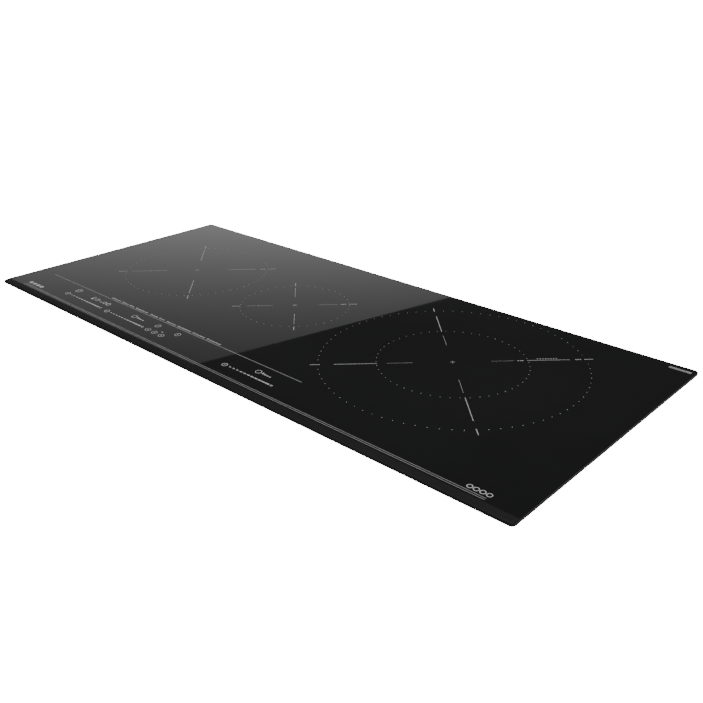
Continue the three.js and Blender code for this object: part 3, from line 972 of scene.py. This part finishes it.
class COOKTOP_OT_touch_marks(bpy.types.Operator):
    """Touch symbols, sliders and the row of small programme signs"""

    bl_idname = "cooktop.touch_marks"
    bl_label = "Touch marks"

    def execute(self, context):
        sizes = context.scene.cooktop_marks
        marks = Marks("touch_marks")
        for start, end in PROGRAMME_SPANS:
            self.programme(marks, start, end)
        self.power(marks, *POWER_KEY)
        self.display(marks, *DISPLAY)
        for place in TIMERS:
            self.timer(marks, *place)
        for place in ROUND_KEYS:
            self.round_key(marks, *place)
        marks.bar(*KEY_DASH)
        for start, end in SLIDERS:
            self.slider(marks, start, end)
        marks.raised(mark_ink("touch_ink", sizes.touch_ink))
        return {"FINISHED"}

    @staticmethod
    def programme(marks, start, end):
        """A row of tiny blocks, led by a taller one."""
        pitch, low, leading = 2.35, 2.4, 3.4
        count = max(2, round((end - start) / pitch))
        step = (end - start) / count
        for i in range(count):
            tall = low if i else leading
            y = PROGRAMME_Y + (tall - low) / 2
            marks.bar(start + (i + 0.5) * step, y, step * 0.52, tall)

    @staticmethod
    def power(marks, x, y):
        """A ring round an open ring with a stroke in its gap."""
        marks.ring(x, y, 5.3, 0.75, 28)
        marks.ring(x, y, 2.7, 0.75, 20, gap=(62, 118))
        marks.bar(x, y + 2.2, 0.75, 2.6)

    @staticmethod
    def round_key(marks, x, y):
        """A ring with a dash in it."""
        marks.ring(x, y, 4.2, 0.7, 24)
        marks.bar(x, y, 3.0, 0.8)

    @staticmethod
    def display(marks, x, y):
        """A lock, a clock and three small level signs."""
        marks.ring(x, y + 1.0, 2.6, 0.8, 20)
        marks.bar(x, y - 3.0, 4.6, 2.4)
        marks.ring(x + 10.0, y, 3.6, 0.8, 22)
        marks.bar(x + 10.0, y + 0.9, 0.7, 2.2)
        for step, size in ((17.0, 1.0), (21.5, 1.3)):
            marks.dot(x + step, y - 1.6, size)
        marks.ring(x + 27.5, y, 3.2, 1.1, 20)
        marks.ring(x + 36.0, y, 3.8, 1.3, 22)

    @staticmethod
    def timer(marks, x, y):
        """A ring and a falling row of blocks."""
        marks.ring(x + 4.6, y + 0.3, 4.2, 0.9, 24)
        for i, tall in enumerate((4.6, 3.2, 2.4, 2.4)):
            marks.bar(x + 12.0 + i * 4.2, y - 1.6 + tall / 2, 2.6, tall * 0.72)

    @staticmethod
    def slider(marks, start, end):
        """A key, a line of growing dashes and an end key."""
        y = SLIDER_Y
        marks.ring(start, y - 0.4, 3.9, 0.9, 22)
        marks.bar(start, y - 0.4, 2.8, 0.8)
        first, last, count = start + 6.2, end - 3.4, 11
        step = (last - first) / count
        for i in range(count):
            marks.bar(first + (i + 0.5) * step, y, step * (0.5 + 0.045 * i), 1.3 + 0.08 * i)
        marks.ring(end, y, 1.8, 0.9, 14)


PANEL_LINE = {"span": (37.9, 575.8), "ys": (65.4,), "width": 1.1}
FRONT_LINES = {"span": (38.9, 861.0), "ys": (15.1 - 1.35, 15.1 + 1.35), "width": 0.9}
MAKER_SIGN = (38.2, 23.7)
COIL_SIGN = (849.6, 22.7)
REAR_SIGN = (868.0, 388.0)


class COOKTOP_OT_long_lines(bpy.types.Operator):
    """The line behind the touch panel, the doubled front line and the corner signs"""

    bl_idname = "cooktop.long_lines"
    bl_label = "Long lines"

    def execute(self, context):
        sizes = context.scene.cooktop_marks
        marks = Marks("long_lines")
        for line in (PANEL_LINE, FRONT_LINES):
            start, end = line["span"]
            for y in line["ys"]:
                marks.bar((start + end) / 2, y, end - start, line["width"])
        marks.raised(mark_ink("line_ink", sizes.line_ink, 0.2))
        signs = Marks("corner_signs")
        self.maker_sign(signs, *MAKER_SIGN)
        self.coil_sign(signs, *COIL_SIGN)
        self.rear_sign(signs, *REAR_SIGN)
        signs.raised(mark_ink("sign_ink", sizes.touch_ink))
        return {"FINISHED"}

    @staticmethod
    def maker_sign(marks, x, y):
        """A plain row of four blocks."""
        for i in range(4):
            marks.bar(x + 5.0 + i * 9.6, y, 6.4, 5.6)

    @staticmethod
    def coil_sign(marks, x, y):
        """A row of four loops, the common sign for a heating coil."""
        for step in (-10.8, -3.6, 3.6, 10.8):
            marks.ring(x + step, y, 3.3, 1.0, 20)

    @staticmethod
    def rear_sign(marks, x, y):
        """A short doubled bar."""
        for step in (-1.3, 1.3):
            marks.bar(x + 13.5, y + step, 27.0, 1.2)


# ---- below the glass ----
SCREW_ROWS = {41.0: (-380, -190, 190, 384), 12.0: (-380, -190, 190)}


class COOKTOP_OT_housing_shell(bpy.types.Operator):
    """Galvanised tray with its slots and ears, and the screws in its rear wall"""

    bl_idname = "cooktop.housing_shell"
    bl_label = "Housing shell"

    def execute(self, context):
        sizes = context.scene.cooktop_housing
        steel = sheet_steel()
        tray = refined("tray_shell", "housing_tray", sizes.sheet_round, 2, 50.0)
        finished(tray, "housing", steel, "galvanised_steel", "housing_tray")
        zinc = plated_zinc("screw_zinc", lit(0.42), lit(0.62, 0.01), 0.26)
        wall_y = 180.0 * MM
        places = [(x * MM, wall_y, z * MM) for z, row in SCREW_ROWS.items() for x in row]
        screws = copies(self.screw(sizes.screw), "wall_screws", places)
        finished(screws, "housing", zinc, "zinc_steel")
        return {"FINISHED"}

    @staticmethod
    def screw(radius):
        """A pan head that faces the rear, with a cross recess."""
        nothing_selected()
        tall, slot, reach = radius * 0.62, radius * 0.1, radius * 0.52
        turned = (-math.pi / 2, 0, 0)
        bpy.ops.mesh.primitive_cylinder_add(
            vertices=24, radius=radius, depth=tall, location=(0, tall / 2, 0), rotation=turned
        )
        head = named(bpy.context.object, "screw_pattern")
        bpy.ops.object.transform_apply(location=True, rotation=True, scale=True)
        set_mode("EDIT")
        outer = tall - HAIR
        pick("edges", lambda e: min(v.co.y for v in e.verts) > outer)
        bpy.ops.mesh.bevel(offset=tall * 0.55, segments=4, affect="EDGES")
        pick("faces", lambda f: f.normal.y > 0.99 and f.calc_center_median().y > outer)
        bpy.ops.mesh.inset(thickness=radius * 0.12)
        set_mode("OBJECT")
        cross = block("cross", (-reach, tall * 0.45, -slot), (reach, tall * 1.5, slot))
        set_mode("OBJECT")
        for turn in (0.0, math.pi / 2):
            cross.rotation_euler = (0, turn, 0)
            cut = head.modifiers.new("cross", "BOOLEAN")
            cut.operation = "DIFFERENCE"
            cut.solver = "EXACT"
            cut.object = cross
            only(head)
            bpy.ops.object.modifier_apply(modifier=cut.name)
        only(cross)
        bpy.ops.object.delete()
        tidied(head)
        only(head)
        bpy.ops.object.shade_smooth_by_angle(angle=math.radians(30))
        return head


class COOKTOP_OT_seals(bpy.types.Operator):
    """Foam edge seal, bonding bead and cable grommet"""

    bl_idname = "cooktop.seals"
    bl_label = "Seals"

    def execute(self, context):
        seal = refined("foam_seal", "edge_seal", 0.5 * MM, 3)
        finished(seal, "housing", closed_foam(), "foam", "edge_seal")
        bead = refined("glue_bead", "bonding_bead", 0.3 * MM, 3)
        black = silicone("black_silicone", lit(0.010), lit(0.020))
        finished(bead, "housing", black, "silicone", "bonding_bead")
        collar = refined("rubber_grommet", "cable_grommet", 0.35 * MM, 3, 30.0)
        finished(collar, "housing", soft_rubber(), "rubber", "cable_grommet")
        return {"FINISHED"}


class COOKTOP_OT_clamps(bpy.types.Operator):
    """The four worktop clamps: stud, nut and arm"""

    bl_idname = "cooktop.clamps"
    bl_label = "Clamps"

    def execute(self, context):
        zinc = plated_zinc("clamp_zinc", lit(0.46), lit(0.68, 0.015), 0.24)
        brass = plated_zinc("brass", (0.45, 0.30, 0.10), (0.72, 0.54, 0.22), 0.22)
        for corner in ("front_left", "rear_left", "front_right", "rear_right"):
            stud = refined(f"stud_{corner}", f"clamp_stud_{corner}", 0.35 * MM)
            finished(stud, "housing", zinc, "zinc_steel", f"clamp_stud_{corner}")
            nut = refined(f"hex_nut_{corner}", f"clamp_nut_{corner}", 0.35 * MM)
            finished(nut, f"nut_{corner}", brass, "brass", f"clamp_nut_{corner}")
            arm = refined(f"grip_arm_{corner}", f"clamp_arm_{corner}", 0.4 * MM, 3, 30.0)
            finished(arm, f"arm_{corner}", zinc, "zinc_steel", f"clamp_arm_{corner}")
        return {"FINISHED"}


class COOKTOP_OT_mains_entry(bpy.types.Operator):
    """Terminal cover and box at the rear right"""

    bl_idname = "cooktop.mains_entry"
    bl_label = "Mains entry"

    def execute(self, context):
        sizes = context.scene.cooktop_housing
        plastic = moulded_plastic("entry_plastic", lit(0.012), lit(0.024), 0.42)
        lid = refined("mains_lid", "terminal_cover", sizes.plastic_round, 3, 35.0)
        finished(lid, "terminal_lid", plastic, "black_plastic", "terminal_cover")
        box = refined("mains_box", "terminal_box", sizes.plastic_round)
        finished(box, "housing", plastic, "black_plastic", "terminal_box")
        return {"FINISHED"}


# The inner radius of each winding and of the mica sheets, in millimetres.
WINDINGS = {
    "left": {"": 30.0},
    "middle": {"": 24.0},
    "right": {"_inner": 34.0, "_outer": 100.0},
}
SHEET_BORE = 14.0


class COOKTOP_OT_coils(bpy.types.Operator):
    """The turns of stranded copper and the round mica sheet of each coil"""

    bl_idname = "cooktop.coils"
    bl_label = "Coils"

    def execute(self, context):
        mica = pressed_mica()
        for zone, windings in WINDINGS.items():
            copper = litz_copper(zone, middle_of(f"coil_former_{zone}"))
            body = f"coil_unit_{zone}"
            for suffix, inner in windings.items():
                node = f"coil_winding_{zone}{suffix}"
                turns = self.wound(f"copper_turns_{zone}{suffix}", node, inner * MM)
                finished(turns, body, copper, "copper", node)
            disc = self.washer(f"mica_disc_{zone}", f"mica_sheet_{zone}", SHEET_BORE * MM)
            finished(disc, body, mica, "mica", f"mica_sheet_{zone}")
        return {"FINISHED"}

    @staticmethod
    def wound(name, node, inner):
        """Turns side by side between an inner radius and the node's rim, not quite touching."""
        low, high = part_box(node)
        centre, outer, tall = (low + high) / 2, (high.x - low.x) / 2, high.z - low.z
        count = round((outer - inner) / tall)
        pitch = (outer - inner) / count
        fill = 0.98
        wire = fill * pitch / 2
        piece = blank(name)
        for i in range(count):
            bpy.ops.mesh.primitive_torus_add(
                major_radius=inner + (i + 0.5) * pitch,
                minor_radius=wire,
                major_segments=72,
                minor_segments=8,
                location=centre,
            )
        everything()
        flat = fill * tall / (2 * wire)
        bpy.ops.transform.resize(value=(1, 1, flat), center_override=centre)
        bpy.ops.mesh.normals_make_consistent(inside=False)
        set_mode("OBJECT")
        bpy.ops.object.shade_smooth()
        return piece

    @staticmethod
    def washer(name, node, bore, sides=96):
        """A flat round sheet with a bore, as wide and thick as the node."""
        low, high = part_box(node)
        centre = (low + high) / 2
        centre.z = low.z
        piece = blank(name)
        flat_ring(centre, (high.x - low.x) / 2, bore, sides)
        thickened(high.z - low.z)
        softened(piece, 0.1 * MM, 2, 60.0)
        return piece


class COOKTOP_OT_leaf_springs(bpy.types.Operator):
    """The three arched springs that press the coils up"""

    bl_idname = "cooktop.leaf_springs"
    bl_label = "Leaf springs"

    def execute(self, context):
        steel = plated_zinc("spring_steel", lit(0.30), lit(0.46, -0.02), 0.2)
        for zone in ZONES:
            node, joint = f"leaf_spring_{zone}", f"coil_{zone}_float"
            low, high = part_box(node)
            travel = next(j["range_m"] for j in JOINTS if j["name"] == joint)
            keep = 1 - (travel[1] - travel[0]) / (high.z - low.z)
            spring = refined(f"arched_spring_{zone}", node, 0.12 * MM, 2, 60.0)
            finished(spring, "housing", steel, "spring_steel", node)
            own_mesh(spring)
        return {"FINISHED"}


class COOKTOP_OT_inner_finishes(bpy.types.Operator):
    """Procedural finishes on the parts that keep their own shape"""

    bl_idname = "cooktop.inner_finishes"
    bl_label = "Inner finishes"

    def execute(self, context):
        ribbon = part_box("ribbon_cable")
        strands = 8
        pitch = (ribbon[1].x - ribbon[0].x) / strands
        board = printed_board()
        nylon = moulded_plastic("nylon", (0.50, 0.47, 0.40), (0.68, 0.65, 0.58), 0.42)
        plastic = moulded_plastic("black_plastic", lit(0.010), lit(0.022), 0.45)
        aluminium = bare_aluminium()
        film = ((0.010, 0.05, 0.20), (0.02, 0.09, 0.34))
        finishes = {
            "coil_plate": aluminium,
            "heat_sink": aluminium,
            "ferrite_star": sintered_ferrite(),
            "coil_former": nylon,
            "sensor": silicone("pale_silicone", lit(0.34), lit(0.50)),
            "terminal_block": nylon,
            "board_carrier": plastic,
            "fan_housing": plastic,
            "fan_rotor": plastic,
            "control_carrier": plastic,
            "power_board": board,
            "control_board": board,
            "filter_capacitor": moulded_plastic("blue_film", *film, 0.25, 300.0),
            "filter_choke": choke_wire(middle_of("filter_choke_left")),
            "display_module": tinted_lens(),
            "ribbon_cable": ribbon_film(ribbon[0].x, pitch),
        }
        for name, node in frame["nodes"].items():
            if node.hide_render:
                continue
            material = next(finishes[stem] for stem in finishes if name.startswith(stem))
            node.data.materials.clear()
            node.data.materials.append(material)
        return {"FINISHED"}


# ---- studio ----
EYE = Vector((0.7454, -0.7282, 0.4934))
GAZE = Vector((-0.6116, 0.6691, -0.4221))
WHITE = (1.0, 1.0, 1.0)
MATT_LIGHT = 0.55
BACKDROP_LIGHT = 22.0


class COOKTOP_OT_studio(bpy.types.Operator):
    """Pale floor, soft light and the camera"""

    bl_idname = "cooktop.studio"
    bl_label = "Studio"

    def execute(self, context):
        sizes = context.scene.cooktop_studio
        self.camera(context, sizes)
        self.floor(sizes)
        self.sky(context)
        self.softbox(context, sizes)
        self.card(sizes)
        return {"FINISHED"}

    @staticmethod
    def camera(context, sizes):
        lens = bpy.data.cameras.new("main_camera")
        lens.lens = sizes.lens
        lens.sensor_width = 36.0
        lens.clip_start, lens.clip_end = 0.01, 100.0
        camera = bpy.data.objects.new("main_camera", lens)
        context.scene.collection.objects.link(camera)
        camera.location = EYE
        camera.rotation_euler = GAZE.to_track_quat("-Z", "Y").to_euler()
        context.scene.camera = camera

    @staticmethod
    def floor(sizes):
        nothing_selected()
        bpy.ops.mesh.primitive_plane_add(size=24, location=(0, 0, 0))
        floor = named(bpy.context.object, "floor")
        made = Finish("floor_paint", roughness=0.9, specular_ior_level=0.1)
        seen = made.node("LightPath")[0]
        made.paint(base_color=made.blend(made.noise(1.5), lit(0.80), lit(0.84)))
        made.paint(emission_color=WHITE, emission_strength=seen * sizes.floor_glow)
        floor.data.materials.append(made.material)
        floor.visible_glossy = False

    @staticmethod
    def sky(context):
        """White to the eye and to matt surfaces; a dark room with a bright top to glossy ones."""
        world = bpy.data.worlds.new("room")
        context.scene.world = world
        world.use_nodes = True
        world.node_tree.nodes.clear()
        room = NodeSet(world.node_tree)
        height = room.node("SeparateXYZ", None, {0: room.node("TexCoord")[0]})[2]
        stops = [
            (0.0, 0.26),
            (0.31, 0.30),
            (0.37, 0.45),
            (0.42, 0.6),
            (0.55, 0.5),
            (0.61, 0.066),
            (0.70, 0.074),
            (0.80, 0.115),
            (0.90, 0.36),
            (0.97, 0.5),
        ]
        level = height * 0.5 + 0.5
        mirrored = room.node("ValToRGB", {"stops": stops}, {0: level})[0]
        path = room.node("LightPath")
        eye, glossy = path[0], path[3]
        matt = room.node("Background", None, {0: WHITE, 1: MATT_LIGHT})[0]
        shown = room.node("Background", None, {0: WHITE, 1: BACKDROP_LIGHT})[0]
        gloss = room.node("Background", None, {0: mirrored, 1: 1.0})[0]
        first = room.node("MixShader", None, {0: glossy, 1: matt, 2: gloss})[0]
        whole = room.node("MixShader", None, {0: eye, 1: first, 2: shown})[0]
        room.node("OutputWorld", None, {0: whole})

    @staticmethod
    def softbox(context, sizes):
        lamp = bpy.data.lights.new("softbox", "AREA")
        lamp.shape = "RECTANGLE"
        lamp.size, lamp.size_y = 2.6, 1.8
        lamp.energy = sizes.overhead
        box = bpy.data.objects.new("softbox", lamp)
        context.scene.collection.objects.link(box)
        box.location = (0.2, 0.3, 3.0)
        box.rotation_euler = (-box.location).to_track_quat("-Z", "Y").to_euler()
        box.visible_camera = False
        box.visible_glossy = False

    @staticmethod
    def card(sizes):
        """A pale card far behind on the left, which the left part of the glass mirrors."""
        eye = Vector((EYE.x, EYE.y, 2 * GLASS_TOP - EYE.z))
        across = Vector((0.6, 0.8, 0.0))
        away = Vector((-0.8, 0.6, 0.0))
        distance, foot = 4.0, 0.3

        def beyond(x, y):
            """The place on the card that the eye sees mirrored at x, y on the glass."""
            ray = Vector((GLASS_LOW.x + x * MM, GLASS_LOW.y + y * MM, GLASS_TOP)) - eye
            return eye + ray * (distance / ray.dot(away))

        rear, front, far = beyond(541.0, 393.0), beyond(447.0, 5.0), beyond(0.0, 5.0)
        rear_end = rear + (rear - front) * 0.4
        far_end = far + (far - front) * 0.25
        corners = [
            front,
            rear_end,
            Vector((rear_end.x, rear_end.y, foot)),
            Vector((far_end.x, far_end.y, foot)),
            far_end,
        ]
        nothing_selected()
        bpy.ops.mesh.primitive_circle_add(vertices=len(corners), radius=1, fill_type="NGON")
        card = named(bpy.context.object, "side_card")
        set_mode("EDIT")
        for i, place in enumerate(corners):
            start = card_corner(card, i)
            pick("verts", lambda v, i=i: v.index == i)
            bpy.ops.transform.translate(value=place - start)
        set_mode("OBJECT")
        made = Finish("card_paint", base_color=(0.0, 0.0, 0.0), specular_ior_level=0.0)
        x, y, height = made.axes()
        along = x * across.x + y * across.y
        rise = height * (height * 0.438 - 1.743)
        sideways = along * (0.221 - along * 0.0805 - height * 0.101)
        made.paint(emission_color=(1.919 + rise + sideways).at_least(0.05))
        made.paint(emission_strength=sizes.card)
        card.data.materials.append(made.material)
        card.visible_camera = False
        card.visible_diffuse = False
        card.visible_shadow = False
        card.visible_transmission = False


def card_corner(card, index):
    """Where one corner of the card in edit mode stands."""
    shape = bmesh.from_edit_mesh(card.data)
    shape.verts.ensure_lookup_table()
    return shape.verts[index].co.copy()


class COOKTOP_PT_sidebar(bpy.types.Panel):
    """The cooktop's pieces and the sizes they are built from"""

    bl_idname = "COOKTOP_PT_sidebar"
    bl_label = "Induction cooktop"
    bl_space_type = "VIEW_3D"
    bl_region_type = "UI"
    bl_category = "Cooktop"

    def draw(self, context):
        for kind in OPERATORS:
            self.layout.operator(kind.bl_idname)
        for group in SETTINGS:
            box = self.layout.box()
            settings = getattr(context.scene, group)
            for key in settings.__annotations__:
                box.prop(settings, key)


SETTINGS = {
    "cooktop_glass": CooktopGlass,
    "cooktop_marks": CooktopMarks,
    "cooktop_housing": CooktopHousing,
    "cooktop_studio": CooktopStudio,
}

OPERATORS = (
    COOKTOP_OT_glass_plate,
    COOKTOP_OT_zone_marks,
    COOKTOP_OT_touch_marks,
    COOKTOP_OT_long_lines,
    COOKTOP_OT_housing_shell,
    COOKTOP_OT_seals,
    COOKTOP_OT_clamps,
    COOKTOP_OT_mains_entry,
    COOKTOP_OT_coils,
    COOKTOP_OT_leaf_springs,
    COOKTOP_OT_inner_finishes,
    COOKTOP_OT_studio,
)


def register():
    for kind in (*SETTINGS.values(), *OPERATORS, COOKTOP_PT_sidebar):
        bpy.utils.register_class(kind)
    for name, kind in SETTINGS.items():
        setattr(bpy.types.Scene, name, bpy.props.PointerProperty(type=kind))


def unregister():
    for name in SETTINGS:
        delattr(bpy.types.Scene, name)
    for kind in (COOKTOP_PT_sidebar, *reversed(OPERATORS), *SETTINGS.values()):
        bpy.utils.unregister_class(kind)


def main():
    register()
    for kind in OPERATORS:
        group, step = kind.bl_idname.split(".")
        getattr(getattr(bpy.ops, group), step)()


if __name__ == "__main__":
    main()
